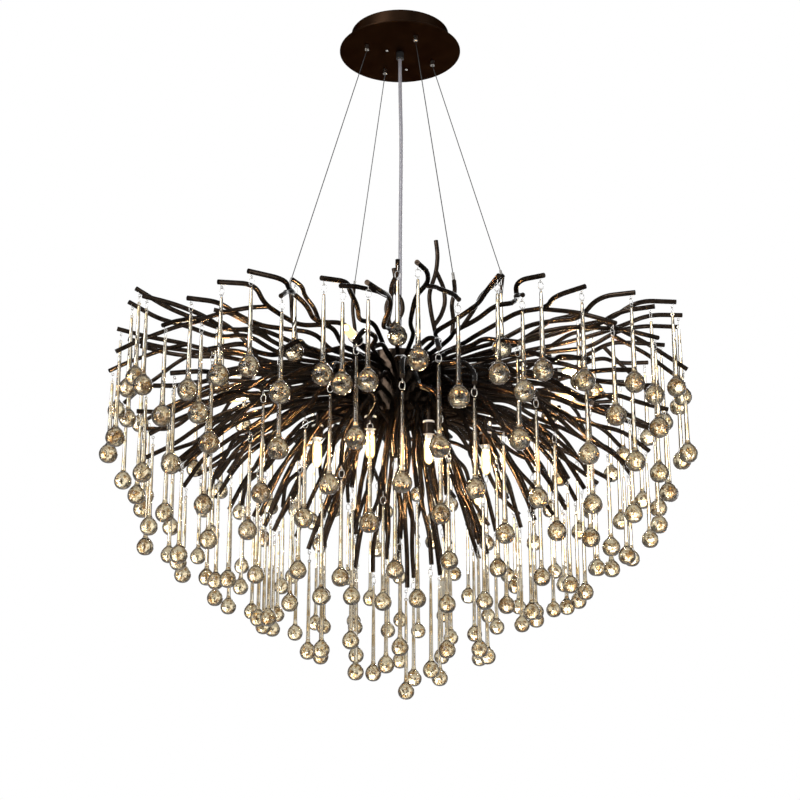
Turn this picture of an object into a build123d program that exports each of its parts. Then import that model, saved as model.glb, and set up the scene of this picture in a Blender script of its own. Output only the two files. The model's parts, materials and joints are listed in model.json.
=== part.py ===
from build123d import *
import math
import os

# A crystal drop chandelier: a burst of dark metal rods on a round hub, hung on four steel
# wires from a ceiling canopy, with a glass drop on a ring under almost every rod's tip.
# Millimetres. The origin is on the ceiling, above the middle of the canopy, and +Z is up.

# --- canopy -----------------------------------------------------------------------------
BRACKET_WIDTH = 26.0
BRACKET_THICKNESS = 2.0
BRACKET_TAB = 20.0
BRACKET_HOLE_SPACING = 100.0
BRACKET_HOLE_RADIUS = 2.5
CAN_RADIUS = 89.0
CAN_HEIGHT = 33.0
CAN_WALL = 1.4
CAN_FLANGE = 14.0
PLATE_RADIUS = 110.0
PLATE_THICKNESS = 3.0
SCREW_RADIUS = 2.0
SCREW_HEAD_RADIUS = 3.6
SCREW_HEAD_HEIGHT = 2.0
SCREW_BITE = 2.4
PLATE_SCREW_COUNT = 4
TERMINAL_SIZE = (94.0, 14.0, 15.0)
TERMINAL_PLACE = (-6.0, 24.0)
TERMINAL_AZIMUTH = 62.8
TERMINAL_SCREW_SPACING = 78.0
TERMINAL_SCREW_RADIUS = 1.5
TERMINAL_SCREW_BITE = 6.0
TERMINAL_WAYS = 6

# --- suspension and supply cable --------------------------------------------------------
WIRE_RADIUS = 0.8
WIRE_COUNT = 4
WIRE_AZIMUTH = 25.0
GRIP_PITCH_RADIUS = 66.0
GRIP_RADIUS = 4.0
GRIP_LENGTH = 10.0
GRIP_SHANK_RADIUS = 3.0
GRIP_SHANK_LENGTH = 8.0
NUT_WIDTH = 10.0
NUT_HEIGHT = 4.0
SOCKET_RADIUS = 2.4
SOCKET_LENGTH = 14.0
SOCKET_GRIP = 6.0
GLAND_RADIUS = 7.0
GLAND_LENGTH = 13.0
GLAND_SHANK_RADIUS = 5.0
CABLE_RADIUS = 3.25
CABLE_BEND_SHARE = 0.45

# --- hub --------------------------------------------------------------------------------
HUB_HEIGHT = -670.0
CORE_RADIUS = 75.0
CORE_TOP = 40.0
CORE_BOTTOM = -62.0
CORE_WALL = 5.0
LID_THICKNESS = 3.0
LID_SPIGOT = 6.0
LID_CLEARANCE = 0.1
CONNECTOR_SIZE = (36.0, 22.0, 16.0)

# --- rods -------------------------------------------------------------------------------
ROD_RADIUS = 3.8
FORK_RADIUS = 3.5
ARM_RADIUS = 3.3
ROD_ROOT_DEPTH = 6.0
ROD_BEND_SHARE = 0.42
FORK_SWAY = 4.5
TIP_OVERHANG = 5.0
STEEP_COSINE = 0.5
BRANCH_COUNT = 12
BRANCH_STEP = 360.0 / BRANCH_COUNT
# All rods waver together, so that neighbours keep their distance: each wave has the length
# of one swing along the radius, how far it goes, and how often it shifts round the circle.
SIDE_WAVES = ((210.0, 10.0, 2), (96.0, 5.5, -3))
RISE_WAVES = ((180.0, 6.0, 3), (84.0, 3.5, -2))
WAVE_RAMP = 110.0
# What each rod adds of its own, once it is far enough out to have room.
OWN_SWAY = 7.0
OWN_RISE = 3.5
OWN_START = 110.0
OWN_RAMP = 170.0

# --- glass drops and what they hang on --------------------------------------------------
PIN_RADIUS = 0.6
PIN_SEAT = 1.0
PIN_STAND_OFF = 1.0
RING_WIRE_RADIUS = 0.5
HOOK_EYE_RADIUS = 2.1
HOOK_EYE_MIDDLE = -145.0
HOOK_EYE_END = -290.0
RING_HALF_WIDTH = 4.0
RING_STRAIGHT = 4.0
LINK_CLEARANCE = 0.1
DROP_EYE_RADIUS = 3.0
DROP_EYE_THICKNESS = 2.4
DROP_HOLE_RADIUS = 1.3
DROP_HANG_CLEARANCE = 0.3
DROP_NECK_RADIUS = 2.1

# --- lamps ------------------------------------------------------------------------------
HOLDER_RADIUS = 9.0
HOLDER_LENGTH = 22.0
BULB_RADIUS = 7.5
BULB_LENGTH = 40.0
BULB_BASE_RADIUS = 6.0
BULB_BASE_LENGTH = 8.0
BULB_PIN_RADIUS = 0.7
BULB_PIN_LENGTH = 7.0
BULB_PIN_SPACING = 9.0
BULB_PIN_CLEARANCE = 0.08
RING_LAMP_RADIUS = 250.0
RING_LAMP_HEIGHT = 0.0
ARM_ROOT_HEIGHT = 6.0
ARM_CORNERS = (0.46, 0.64, 0.8)
ARM_STRAIGHT = 22.0
RING_LAMP_BRANCHES = (0, 2, 5, 6, 8, 11)
LOW_LAMP_RADIUS = 200.0
LOW_LAMP_HEIGHT = -112.0
LOW_ARM_ROOT = 60.0
LOW_ARM_LIFT = 10.0
LOW_LAMP_BRANCHES = (1, 7, 8, 9, 10)


# Each tier is one layer of tips. Heights count from the hub's middle. Offsets are degrees
# from the middle of a branch, and a tip at half a branch's step lies between two branches.
# A rod runs out first and bends down later: reach below 1 and curve above 1 say how much.
TIERS = {
    "rim": {
        "offsets": (-10.5, 3, 11.5), "tip": (470, 27), "root": 24,
        "reach": 1.0, "curve": 1.5, "corners": 7, "glass": "wide",
    },
    "shoulder": {
        "offsets": (-7.5, 7.5), "tip": (442, -62), "root": 6,
        "reach": 0.9, "curve": 1.8, "corners": 7, "glass": "wide",
    },
    "flank": {
        "offsets": (0, 15), "tip": (420, -114), "root": -12,
        "reach": 0.85, "curve": 1.9, "corners": 6, "glass": "middle",
    },
    "bowl": {
        "offsets": (-7.5, 7.5), "tip": (366, -152), "root": -24,
        "reach": 0.8, "curve": 1.9, "corners": 6, "glass": "middle",
    },
    "belly": {
        "offsets": (0, 15), "tip": (296, -190), "root": -36,
        "reach": 0.72, "curve": 1.8, "corners": 5, "glass": "slim",
    },
    "keel": {
        "offsets": (-7.5, 7.5), "tip": (226, -230), "root": -50,
        "reach": 0.7, "curve": 1.6, "corners": 4, "glass": "slim",
    },
}
RIM_SIDE_LIFT = 70.0
RIM_OWN_RISE = 12.0
EDGE_OFFSETS = (-3.75, 7.25)
EDGE_FORK = 0.72
EDGE_TIP = (476.0, -6.0)
EDGE_SPREAD = (8.0, 10.0)
EDGE_LIFT = 5.0
CROWN_FORK = 0.42
CROWN_TIP = (322.0, 92.0)
CROWN_SPREAD = (16.0, 20.0)
CROWN_LIFT = 9.0
# Upright tips that the wires pull on: the branch's number, and the height above the hub.
HANGER_FORK = 0.3
HANGER_PITCH_RADIUS = 205.0
HANGER_TIPS = {0: 229.0, 3: 245.0, 6: 149.0, 9: 121.0}
# Upright twigs with a looped side strand, on the numbered rim rod of a branch.
LOOP_FORK = 0.31
LOOP_TIPS = {8: {"rim_rod": 2, "height": 136.0}, 9: {"rim_rod": 1, "height": 188.0}}
TIP_RADIUS_SPREAD = 10.0
TIP_HEIGHT_SPREAD = 10.0
RIM_HEIGHT_SPREAD = 20.0
SWINGING_BRANCHES = (0, 1, 4, 5, 6, 7, 8, 9, 10, 11)
# The rods under the hub, in rings: how many, first azimuth, radius at the hub and at the
# tip, the tip's height, and how much the last two differ from one rod to the next.
LOWER_RINGS = {
    "outer": {"count": 12, "first": 0.0, "root": 58.0, "tip": (150.0, -284.0), "spread": (6.0, 9.0)},
    "inner": {"count": 6, "first": 12.0, "root": 26.0, "tip": (72.0, -318.0), "spread": (4.0, 8.0)},
    "middle": {"count": 1, "first": 0.0, "root": 4.0, "tip": (12.0, -346.0), "spread": (0.0, 0.0)},
}
LOWER_REACH = 0.8
LOWER_CORNERS = 4
LOWER_SWAY = 5.0

GLASS_SIZES = {
    "short": {"ball": 15.5, "stem": 3.4, "flare": 14.0, "length": 92.0},
    "wide": {"ball": 15.5, "stem": 3.4, "flare": 14.0, "length": 121.0},
    "middle": {"ball": 14.5, "stem": 3.1, "flare": 13.0, "length": 133.0},
    "slim": {"ball": 13.5, "stem": 2.9, "flare": 12.0, "length": 148.0},
}


def uneven(seed):
    """A repeatable number from -1 to 1 that differs from one seed to the next."""
    value = math.sin(seed * 12.9898 + 4.1414) * 43758.5453
    return 2 * (value - math.floor(value)) - 1


def polar(radius, azimuth, height):
    """A point at a radius, an azimuth in degrees and a height above the hub's middle."""
    angle = math.radians(azimuth)
    return Vector(radius * math.cos(angle), radius * math.sin(angle), HUB_HEIGHT + height)


def bend_radii(points, share):
    """The largest arc at each corner that leaves its runs a straight part."""
    radii = []
    for before, corner, after in zip(points, points[1:], points[2:]):
        arriving = corner - before
        leaving = after - corner
        half_turn = math.radians(arriving.get_angle(leaving)) / 2
        shorter = min(arriving.length, leaving.length)
        radii.append(share * shorter / math.tan(half_turn))
    return radii


def tube(points, radius, share):
    """A round rod through the points, with an arc at each corner."""
    path = FilletPolyline(*points, radius=bend_radii(points, share))
    start = Plane(origin=points[0], z_dir=points[1] - points[0])
    return sweep(start * Circle(radius), path=path)


def largest(shape):
    """The biggest solid of a shape that a cut may have split."""
    return max(shape.solids(), key=lambda solid: solid.volume)


def at_azimuth(solid, point, azimuth):
    """A solid moved to a point, with its own X axis turned to face outwards."""
    return Location((point.X, point.Y, point.Z), (0, 0, azimuth)) * solid


# --- where the rods run -----------------------------------------------------------------
def wave(waves, radius, azimuth):
    """The sum of the waves at a place, which is nothing at the hub and full further out."""
    ramp = min(1.0, max(0.0, (radius - CORE_RADIUS) / WAVE_RAMP))
    around = math.radians(azimuth)
    swings = [size * math.sin(2 * math.pi * radius / length + turns * around) for length, size, turns in waves]
    return ramp * sum(swings)


def wavered(radius, azimuth, height, side=0.0, rise=0.0):
    """A point moved by the common waves, and by a side step and a rise of its own."""
    side += wave(SIDE_WAVES, radius, azimuth)
    rise += wave(RISE_WAVES, radius, azimuth)
    return polar(radius, azimuth + math.degrees(side / radius), height + rise)


def hub_rod(tier, azimuth, seed):
    """The corners of a rod from the hub's side out to its tip, the hanging point last."""
    is_rim = tier is TIERS["rim"]
    root_height = tier["root"]
    tip_radius = tier["tip"][0] + TIP_RADIUS_SPREAD * uneven(seed + 0.11)
    tip_height = tier["tip"][1] + (RIM_HEIGHT_SPREAD if is_rim else TIP_HEIGHT_SPREAD) * uneven(seed + 0.23)
    if is_rim:
        tip_height += RIM_SIDE_LIFT * math.cos(math.radians(azimuth)) ** 4
    points = [polar(CORE_RADIUS - ROD_ROOT_DEPTH, azimuth, root_height)]
    for number in range(1, tier["corners"] + 1):
        share = number / (tier["corners"] + 1)
        radius = CORE_RADIUS + (tip_radius - CORE_RADIUS) * share ** tier["reach"]
        height = root_height + (tip_height - root_height) * share ** tier["curve"]
        room = min(1.0, max(0.0, (radius - OWN_START) / OWN_RAMP))
        side = OWN_SWAY * room * uneven(seed + number) * (-1) ** number
        rise = OWN_RISE * room * uneven(seed + number + 0.37)
        if is_rim:
            rise = RIM_OWN_RISE * room * (1 + uneven(seed + number + 0.37)) / 2
        points.append(wavered(radius, azimuth, height, side, rise))
    points.append(wavered(tip_radius, azimuth, tip_height))
    return points


def along(points, share):
    """The place at a share of the way through a list of corners."""
    place = share * (len(points) - 1)
    run = int(place)
    return points[run] + (points[run + 1] - points[run]) * (place - run)


def fork_rod(start, tip, lift, seed):
    """The corners of a side rod that leaves a parent at its start and ends at a tip."""
    points = [start]
    for number, part in enumerate((0.3, 0.55, 0.8)):
        between = start + (tip - start) * part
        sideways = Vector(-between.Y, between.X, 0).normalized()
        sway = FORK_SWAY * (-1) ** number * (0.7 + 0.3 * uneven(seed + part))
        points.append(between + sideways * sway + Vector(0, 0, lift * math.sin(math.pi * part)))
    points.append(tip)
    return points


def lower_rod(azimuth, root_radius, tip_radius, tip_height, seed):
    """The corners of a rod that leaves the hub's flat bottom, spreads and hangs down."""
    points = [polar(root_radius, azimuth, CORE_BOTTOM)]
    for number in range(1, LOWER_CORNERS + 1):
        share = number / (LOWER_CORNERS + 1)
        radius = root_radius + (tip_radius - root_radius) * share**LOWER_REACH
        height = CORE_BOTTOM + (tip_height - CORE_BOTTOM) * share
        sway = LOWER_SWAY * (-1) ** number * (0.6 + 0.4 * uneven(seed + share))
        if number == 1:
            sway = 0.0
        points.append(polar(radius + sway / 2, azimuth + math.degrees(sway / radius), height))
    points.append(polar(tip_radius, azimuth, tip_height))
    return points


def branch_azimuth(index):
    return (index + 0.5) * BRANCH_STEP


class Rod:
    """One rod: its corners, the rods it is welded to and the glass that hangs from its tip."""

    def __init__(self, name, azimuth, points, glass=None, welded_to=()):
        last_run = points[-1] - points[-2]
        self.cosine = math.hypot(last_run.X, last_run.Y) / last_run.length
        self.sine = last_run.Z / last_run.length
        self.steep = self.cosine < STEEP_COSINE
        self.name = name
        self.azimuth = azimuth
        self.radius = FORK_RADIUS if welded_to else ROD_RADIUS
        if name == "arm":
            self.radius = ARM_RADIUS
        self.glass = glass
        self.welded_to = welded_to
        self.hanging_point = points[-1]
        self.points = points
        if glass and not self.steep:
            self.points = points[:-1] + [points[-1] + last_run.normalized() * TIP_OVERHANG]


def branch_rods(index):
    """Every rod of one branch, each after the rods that it is welded to."""
    middle = branch_azimuth(index)
    rods = []
    for number, (name, tier) in enumerate(TIERS.items()):
        for offset in tier["offsets"]:
            azimuth = middle + offset
            points = hub_rod(tier, azimuth, azimuth + 7 * number)
            rods.append(Rod(name, azimuth, points, tier["glass"]))
    low_rim, _, high_rim = rods[:3]
    for offset, parent in zip(EDGE_OFFSETS, (low_rim, high_rim)):
        azimuth = middle + offset
        radius = EDGE_TIP[0] + EDGE_SPREAD[0] * uneven(azimuth)
        tip = wavered(radius, azimuth, EDGE_TIP[1] + EDGE_SPREAD[1] * uneven(azimuth + 0.5))
        points = fork_rod(along(parent.points, EDGE_FORK), tip, EDGE_LIFT, azimuth)
        rods.append(Rod("edge", azimuth, points, "wide", (parent,)))
    azimuth = middle + BRANCH_STEP / 2
    radius = CROWN_TIP[0] + CROWN_SPREAD[0] * uneven(azimuth)
    tip = wavered(radius, azimuth, CROWN_TIP[1] + CROWN_SPREAD[1] * uneven(azimuth + 0.5))
    points = fork_rod(along(high_rim.points, CROWN_FORK), tip, CROWN_LIFT, azimuth)
    rods.append(Rod("crown", azimuth, points, "short", (high_rim,)))
    if index in HANGER_TIPS:
        azimuth = WIRE_AZIMUTH + index * BRANCH_STEP
        tip = polar(HANGER_PITCH_RADIUS, azimuth, HANGER_TIPS[index])
        points = fork_rod(along(high_rim.points, HANGER_FORK), tip, 0, azimuth)
        rods.append(Rod("hanger", azimuth, points, None, (high_rim,)))
    if index in LOOP_TIPS:
        rods.extend(loop_rods(rods[LOOP_TIPS[index]["rim_rod"]], LOOP_TIPS[index]["height"]))
    return rods


def loop_rods(parent, height):
    """An upright twig and a thin side strand that leaves it low down and joins it again."""
    foot = along(parent.points, LOOP_FORK)
    outwards = Vector(foot.X, foot.Y, 0).normalized()
    sideways = Vector(-outwards.Y, outwards.X, 0)
    rise = HUB_HEIGHT + height - foot.Z
    lean = [(0, 0), (-8, 0.22), (-12, 0.42), (1, 0.66), (4, 0.84), (1, 1)]
    upright = [foot + sideways * side + Vector(0, 0, rise * part) for side, part in lean]
    bow = [(-3, 0.1), (8, 0.2), (16, 0.34), (14, 0.5), (5, 0.62), (1, 0.67)]
    strand = [foot + sideways * side + Vector(0, 0, rise * part) for side, part in bow]
    stem = Rod("loop_stem", parent.azimuth, upright, None, (parent,))
    return [stem, Rod("loop_strand", parent.azimuth, strand, None, (parent, stem))]


def lower_rods():
    """The rods under the hub: an outer ring, an inner ring and one at the middle."""
    rods = []
    for name, ring in LOWER_RINGS.items():
        for index in range(ring["count"]):
            azimuth = ring["first"] + 360 / ring["count"] * index
            tip_radius = ring["tip"][0] + ring["spread"][0] * uneven(index)
            tip_height = ring["tip"][1] + ring["spread"][1] * uneven(index + 0.4)
            points = lower_rod(azimuth, ring["root"], tip_radius, tip_height, azimuth)
            rods.append(Rod(name, azimuth, points, "slim"))
    return rods


def ring_arm(index):
    """The tube that carries a lamp in the gap under the rim rods."""
    azimuth = branch_azimuth(index)
    points = [polar(CORE_RADIUS - ROD_ROOT_DEPTH, azimuth, ARM_ROOT_HEIGHT)]
    for share in ARM_CORNERS:
        height = ARM_ROOT_HEIGHT + (RING_LAMP_HEIGHT - ARM_ROOT_HEIGHT) * share
        points.append(wavered(share * RING_LAMP_RADIUS, azimuth, height))
    points.append(polar(RING_LAMP_RADIUS - ARM_STRAIGHT, azimuth, RING_LAMP_HEIGHT))
    points.append(polar(RING_LAMP_RADIUS, azimuth, RING_LAMP_HEIGHT))
    return Rod("arm", azimuth, points)


def low_arm(index):
    """The tube that carries a lamp below the hub."""
    azimuth = branch_azimuth(index)
    top = LOW_LAMP_HEIGHT + ARM_STRAIGHT
    points = [
        polar(LOW_ARM_ROOT, azimuth, CORE_BOTTOM),
        polar(LOW_ARM_ROOT, azimuth, CORE_BOTTOM - ARM_STRAIGHT),
        wavered((LOW_ARM_ROOT + LOW_LAMP_RADIUS) / 2, azimuth, top + LOW_ARM_LIFT),
        wavered(LOW_LAMP_RADIUS, azimuth, top),
        wavered(LOW_LAMP_RADIUS, azimuth, LOW_LAMP_HEIGHT),
    ]
    return Rod("arm", azimuth, points)


BRANCHES = [branch_rods(index) for index in range(BRANCH_COUNT)]
SPRAY = lower_rods()
ARMS = [ring_arm(index) for index in RING_LAMP_BRANCHES]
ARMS += [low_arm(index) for index in LOW_LAMP_BRANCHES]
ALL_RODS = [rod for rods in BRANCHES for rod in rods] + SPRAY + ARMS


# --- solids: canopy ---------------------------------------------------------------------
def standing(radius, bottom, height):
    """An upright cylinder on the axis, from its bottom's height."""
    return Pos(0, 0, bottom + height / 2) * Cylinder(radius, height)


def ring_of(solid, radius, first_azimuth, count):
    """Copies of a solid at equal steps round the axis."""
    turns = [first_azimuth + 360 / count * number for number in range(count)]
    return [Rot(0, 0, turn) * Pos(radius, 0, 0) * solid for turn in turns]


CAN_BORE = CAN_RADIUS - CAN_WALL
PLATE_TOP = -CAN_HEIGHT
PLATE_BOTTOM = PLATE_TOP - PLATE_THICKNESS
FLANGE_TOP = PLATE_TOP + CAN_WALL
SIDE_SCREW_HEIGHT = -BRACKET_TAB * 0.6
FLANGE_SCREW_PITCH = CAN_BORE - CAN_FLANGE / 2
FLANGE_SCREW_AZIMUTH = 0.0


def side_screw(shank_radius):
    """A screw along +X, its shank from inside the bracket's tab to the can's outside."""
    start = CAN_BORE - BRACKET_THICKNESS
    length = CAN_RADIUS - start
    shank = Rot(0, 90, 0) * standing(shank_radius, start, length)
    return Pos(0, 0, SIDE_SCREW_HEIGHT) * shank


def ceiling_bracket():
    band = Box(2 * CAN_RADIUS, BRACKET_WIDTH, 2 * BRACKET_TAB)
    bar = standing(CAN_BORE, -BRACKET_THICKNESS, BRACKET_THICKNESS)
    tabs = standing(CAN_BORE, -BRACKET_TAB, BRACKET_TAB)
    tabs -= standing(CAN_BORE - BRACKET_THICKNESS, -BRACKET_TAB, BRACKET_TAB)
    bracket = (bar + tabs) & band
    hole = standing(BRACKET_HOLE_RADIUS, -BRACKET_THICKNESS, BRACKET_THICKNESS)
    bracket -= ring_of(hole, BRACKET_HOLE_SPACING / 2, 0, 2)
    return bracket - ring_of(side_screw(SCREW_RADIUS), 0, 0, 2)


def flange_screw(bottom):
    return standing(SCREW_RADIUS, bottom, FLANGE_TOP - bottom)


def canopy_can():
    can = standing(CAN_RADIUS, PLATE_TOP, CAN_HEIGHT) - standing(CAN_BORE, FLANGE_TOP, CAN_HEIGHT)
    can -= standing(CAN_BORE - CAN_FLANGE, PLATE_TOP, CAN_WALL)
    can -= ring_of(side_screw(SCREW_RADIUS), 0, 0, 2)
    screws = ring_of(flange_screw(PLATE_TOP), FLANGE_SCREW_PITCH, FLANGE_SCREW_AZIMUTH, PLATE_SCREW_COUNT)
    return can - screws


def terminal_places():
    """Where the two screws of the terminal strip go through the plate."""
    turn = Location((*TERMINAL_PLACE, 0), (0, 0, TERMINAL_AZIMUTH))
    return [turn * Pos(side * TERMINAL_SCREW_SPACING / 2, 0, 0) for side in (-1, 1)]


def canopy_plate():
    plate = standing(PLATE_RADIUS, PLATE_BOTTOM, PLATE_THICKNESS)
    plate = chamfer(plate.edges().filter_by(GeomType.CIRCLE), PLATE_THICKNESS / 6)
    screws = ring_of(
        flange_screw(PLATE_TOP - SCREW_BITE), FLANGE_SCREW_PITCH, FLANGE_SCREW_AZIMUTH, PLATE_SCREW_COUNT
    )
    plate -= screws
    plate -= ring_of(
        standing(GRIP_SHANK_RADIUS, PLATE_BOTTOM, PLATE_THICKNESS), GRIP_PITCH_RADIUS, WIRE_AZIMUTH, WIRE_COUNT
    )
    plate -= standing(GLAND_SHANK_RADIUS, PLATE_BOTTOM, PLATE_THICKNESS)
    hole = standing(TERMINAL_SCREW_RADIUS, PLATE_BOTTOM, PLATE_THICKNESS)
    return plate - [place * hole for place in terminal_places()]


def canopy_screws():
    flange_head = standing(SCREW_HEAD_RADIUS, FLANGE_TOP, SCREW_HEAD_HEIGHT)
    flange = flange_screw(PLATE_TOP - SCREW_BITE) + flange_head
    side_head = Rot(0, 90, 0) * standing(SCREW_HEAD_RADIUS, CAN_RADIUS, SCREW_HEAD_HEIGHT)
    side = side_screw(SCREW_RADIUS) + Pos(0, 0, SIDE_SCREW_HEIGHT) * side_head
    side -= standing(CAN_RADIUS, -CAN_HEIGHT, CAN_HEIGHT) - standing(CAN_BORE, -CAN_HEIGHT, CAN_HEIGHT) - side_screw(
        SCREW_RADIUS
    )
    screws = ring_of(flange, FLANGE_SCREW_PITCH, FLANGE_SCREW_AZIMUTH, PLATE_SCREW_COUNT)
    return screws + ring_of(side, 0, 0, 2)


def terminal_block():
    length, width, height = TERMINAL_SIZE
    block = Pos(0, 0, PLATE_TOP + height / 2) * Box(length, width, height)
    way_step = (TERMINAL_SCREW_SPACING - 10) / TERMINAL_WAYS
    way = Rot(90, 0, 0) * Cylinder(2.0, width)
    for number in range(TERMINAL_WAYS):
        along = (number - (TERMINAL_WAYS - 1) / 2) * way_step
        block -= Pos(along, 0, PLATE_TOP + height / 2) * way
    block = Location((*TERMINAL_PLACE, 0), (0, 0, TERMINAL_AZIMUTH)) * block
    hole = standing(TERMINAL_SCREW_RADIUS, PLATE_TOP, TERMINAL_SCREW_BITE)
    return block - [place * hole for place in terminal_places()]


def terminal_screws():
    shank = standing(TERMINAL_SCREW_RADIUS, PLATE_BOTTOM, PLATE_THICKNESS + TERMINAL_SCREW_BITE)
    head = standing(SCREW_HEAD_RADIUS - 1, PLATE_BOTTOM - SCREW_HEAD_HEIGHT, SCREW_HEAD_HEIGHT)
    head = fillet(head.edges().group_by(Axis.Z)[0], SCREW_HEAD_HEIGHT / 2)
    return [place * (shank + head) for place in terminal_places()]


# --- solids: suspension -----------------------------------------------------------------
def threaded_fitting(radius, length, shank_radius, shank_length, seat):
    """A fitting that hangs under a plate's seat, its shank going up through the plate."""
    body = standing(radius, seat - length, length)
    body = fillet(body.edges().group_by(Axis.Z)[0], radius / 4)
    return body + standing(shank_radius, seat, shank_length)


def hexagon_nut(width, height, bore_radius, bottom):
    nut = Pos(0, 0, bottom) * extrude(RegularPolygon(width / 2, 6, major_radius=False), height)
    return nut - standing(bore_radius, bottom, height)


def wire_grips():
    grip = threaded_fitting(GRIP_RADIUS, GRIP_LENGTH, GRIP_SHANK_RADIUS, GRIP_SHANK_LENGTH, PLATE_BOTTOM)
    nut = hexagon_nut(NUT_WIDTH, NUT_HEIGHT, GRIP_SHANK_RADIUS, PLATE_TOP)
    grips = ring_of(grip, GRIP_PITCH_RADIUS, WIRE_AZIMUTH, WIRE_COUNT)
    return grips + ring_of(nut, GRIP_PITCH_RADIUS, WIRE_AZIMUTH, WIRE_COUNT)


def wire_run(hanger):
    """A wire's top under its grip, its foot on an upright twig and the way between them."""
    top = polar(GRIP_PITCH_RADIUS, hanger.azimuth, 0)
    top.Z = PLATE_BOTTOM - GRIP_LENGTH
    foot = hanger.hanging_point
    return top, foot, (top - foot).normalized()


def wire_socket(hanger, twig):
    """A ferrule on a twig's tip, in line with the wire that is crimped into it."""
    _, foot, way = wire_run(hanger)
    ferrule = extrude(Plane(origin=foot, z_dir=way) * Circle(SOCKET_RADIUS), SOCKET_LENGTH)
    bore = foot + way * (SOCKET_LENGTH - SOCKET_GRIP)
    ferrule -= extrude(Plane(origin=bore, z_dir=way) * Circle(WIRE_RADIUS), SOCKET_GRIP)
    return largest(ferrule - twig)


def suspension_wire(hanger):
    top, foot, way = wire_run(hanger)
    start = foot + way * (SOCKET_LENGTH - SOCKET_GRIP)
    wire = extrude(Plane(origin=start, z_dir=way) * Circle(WIRE_RADIUS), (top - start).length + GRIP_LENGTH)
    above = Pos(top.X, top.Y, top.Z + GRIP_LENGTH) * Box(4 * GRIP_LENGTH, 4 * GRIP_LENGTH, 2 * GRIP_LENGTH)
    return largest(wire - above)


def cable_gland():
    gland = threaded_fitting(
        GLAND_RADIUS, GLAND_LENGTH, GLAND_SHANK_RADIUS, PLATE_THICKNESS + NUT_HEIGHT + 2, PLATE_BOTTOM
    )
    nut = hexagon_nut(2 * GLAND_RADIUS, NUT_HEIGHT, GLAND_SHANK_RADIUS, PLATE_TOP)
    return [gland, nut]


LID_BOTTOM = HUB_HEIGHT + CORE_TOP
LID_TOP = LID_BOTTOM + LID_THICKNESS
CABLE_TOP = PLATE_BOTTOM - GLAND_LENGTH
CABLE_FOOT = LID_TOP + GLAND_LENGTH
CABLE_ROUTE = [
    Vector(0, 0, CABLE_TOP),
    Vector(0, 0, CABLE_TOP - 62),
    Vector(2.6, -0.8, CABLE_TOP - 170),
    Vector(0.6, 0.9, CABLE_TOP - 330),
    Vector(0, 0, CABLE_FOOT + 70),
    Vector(0, 0, CABLE_FOOT),
]


def power_cable():
    radii = bend_radii(CABLE_ROUTE, CABLE_BEND_SHARE)
    cable = tube(CABLE_ROUTE, CABLE_RADIUS, CABLE_BEND_SHARE)
    length = sum((after - before).length for before, after in zip(CABLE_ROUTE, CABLE_ROUTE[1:]))
    print("cable bend radii", [round(radius) for radius in radii])
    print("cable volume", round(cable.volume), "section times length", round(math.pi * CABLE_RADIUS**2 * length))
    return cable


# --- solids: hub ------------------------------------------------------------------------
def core_blank():
    return standing(CORE_RADIUS, HUB_HEIGHT + CORE_BOTTOM, CORE_TOP - CORE_BOTTOM)


def hub_core():
    floor = HUB_HEIGHT + CORE_BOTTOM + CORE_WALL
    return core_blank() - standing(CORE_RADIUS - CORE_WALL, floor, CORE_TOP - CORE_BOTTOM)


def hub_lid():
    spigot_radius = CORE_RADIUS - CORE_WALL - LID_CLEARANCE
    lid = standing(CORE_RADIUS, LID_BOTTOM, LID_THICKNESS)
    lid = chamfer(lid.edges().group_by(Axis.Z)[-1], LID_THICKNESS / 3)
    lid += standing(spigot_radius, LID_BOTTOM - LID_SPIGOT, LID_SPIGOT)
    lid -= standing(spigot_radius - CORE_WALL, LID_BOTTOM - LID_SPIGOT, LID_SPIGOT)
    return lid - standing(GLAND_SHANK_RADIUS, LID_BOTTOM, LID_THICKNESS)


def hub_gland():
    body = standing(GLAND_RADIUS, LID_TOP, GLAND_LENGTH)
    body = fillet(body.edges().group_by(Axis.Z)[-1], GLAND_RADIUS / 4)
    gland = body + standing(GLAND_SHANK_RADIUS, LID_BOTTOM - NUT_HEIGHT - 2, LID_THICKNESS + NUT_HEIGHT + 2)
    nut = hexagon_nut(2 * GLAND_RADIUS, NUT_HEIGHT, GLAND_SHANK_RADIUS, LID_BOTTOM - NUT_HEIGHT)
    return [gland, nut]


def hub_connector():
    length, width, height = CONNECTOR_SIZE
    floor = HUB_HEIGHT + CORE_BOTTOM + CORE_WALL
    block = Pos(0, 0, floor + height / 2) * Box(length, width, height)
    lever_step = length / 3
    slot = Box(lever_step * 0.7, width * 0.4, height * 0.25)
    for number in (-1, 0, 1):
        block -= Pos(number * lever_step, width * 0.2, floor + height) * slot
    return block


# --- solids: rods -----------------------------------------------------------------------
def pin_reach(rod):
    """How far below a rod's middle the middle of its hook's eye lies."""
    under = rod.radius + PIN_STAND_OFF + HOOK_EYE_RADIUS
    if rod.steep:
        return under
    slope = max(0.0, rod.sine / rod.cosine)
    return under + rod.radius * (1 / rod.cosine - 1) + PIN_RADIUS + 2 * HOOK_EYE_RADIUS * slope


def pin(rod):
    """The straight wire of a hook, where it stands in a rod's tip."""
    point = rod.hanging_point
    length = PIN_SEAT + pin_reach(rod)
    return Pos(point.X, point.Y, point.Z + PIN_SEAT - length / 2) * Cylinder(PIN_RADIUS, length)


def rod_solids(rods):
    """The rods as solids, each cut to fit the hub and the rods that it is welded to."""
    blank = core_blank()
    made = {}
    for rod in rods:
        solid = tube(rod.points, rod.radius, ROD_BEND_SHARE)
        solid = largest(solid - blank)
        for other in rod.welded_to:
            solid = largest(solid - made[other])
        if rod.glass:
            solid = largest(solid - pin(rod))
        made[rod] = solid
    return made


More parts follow.
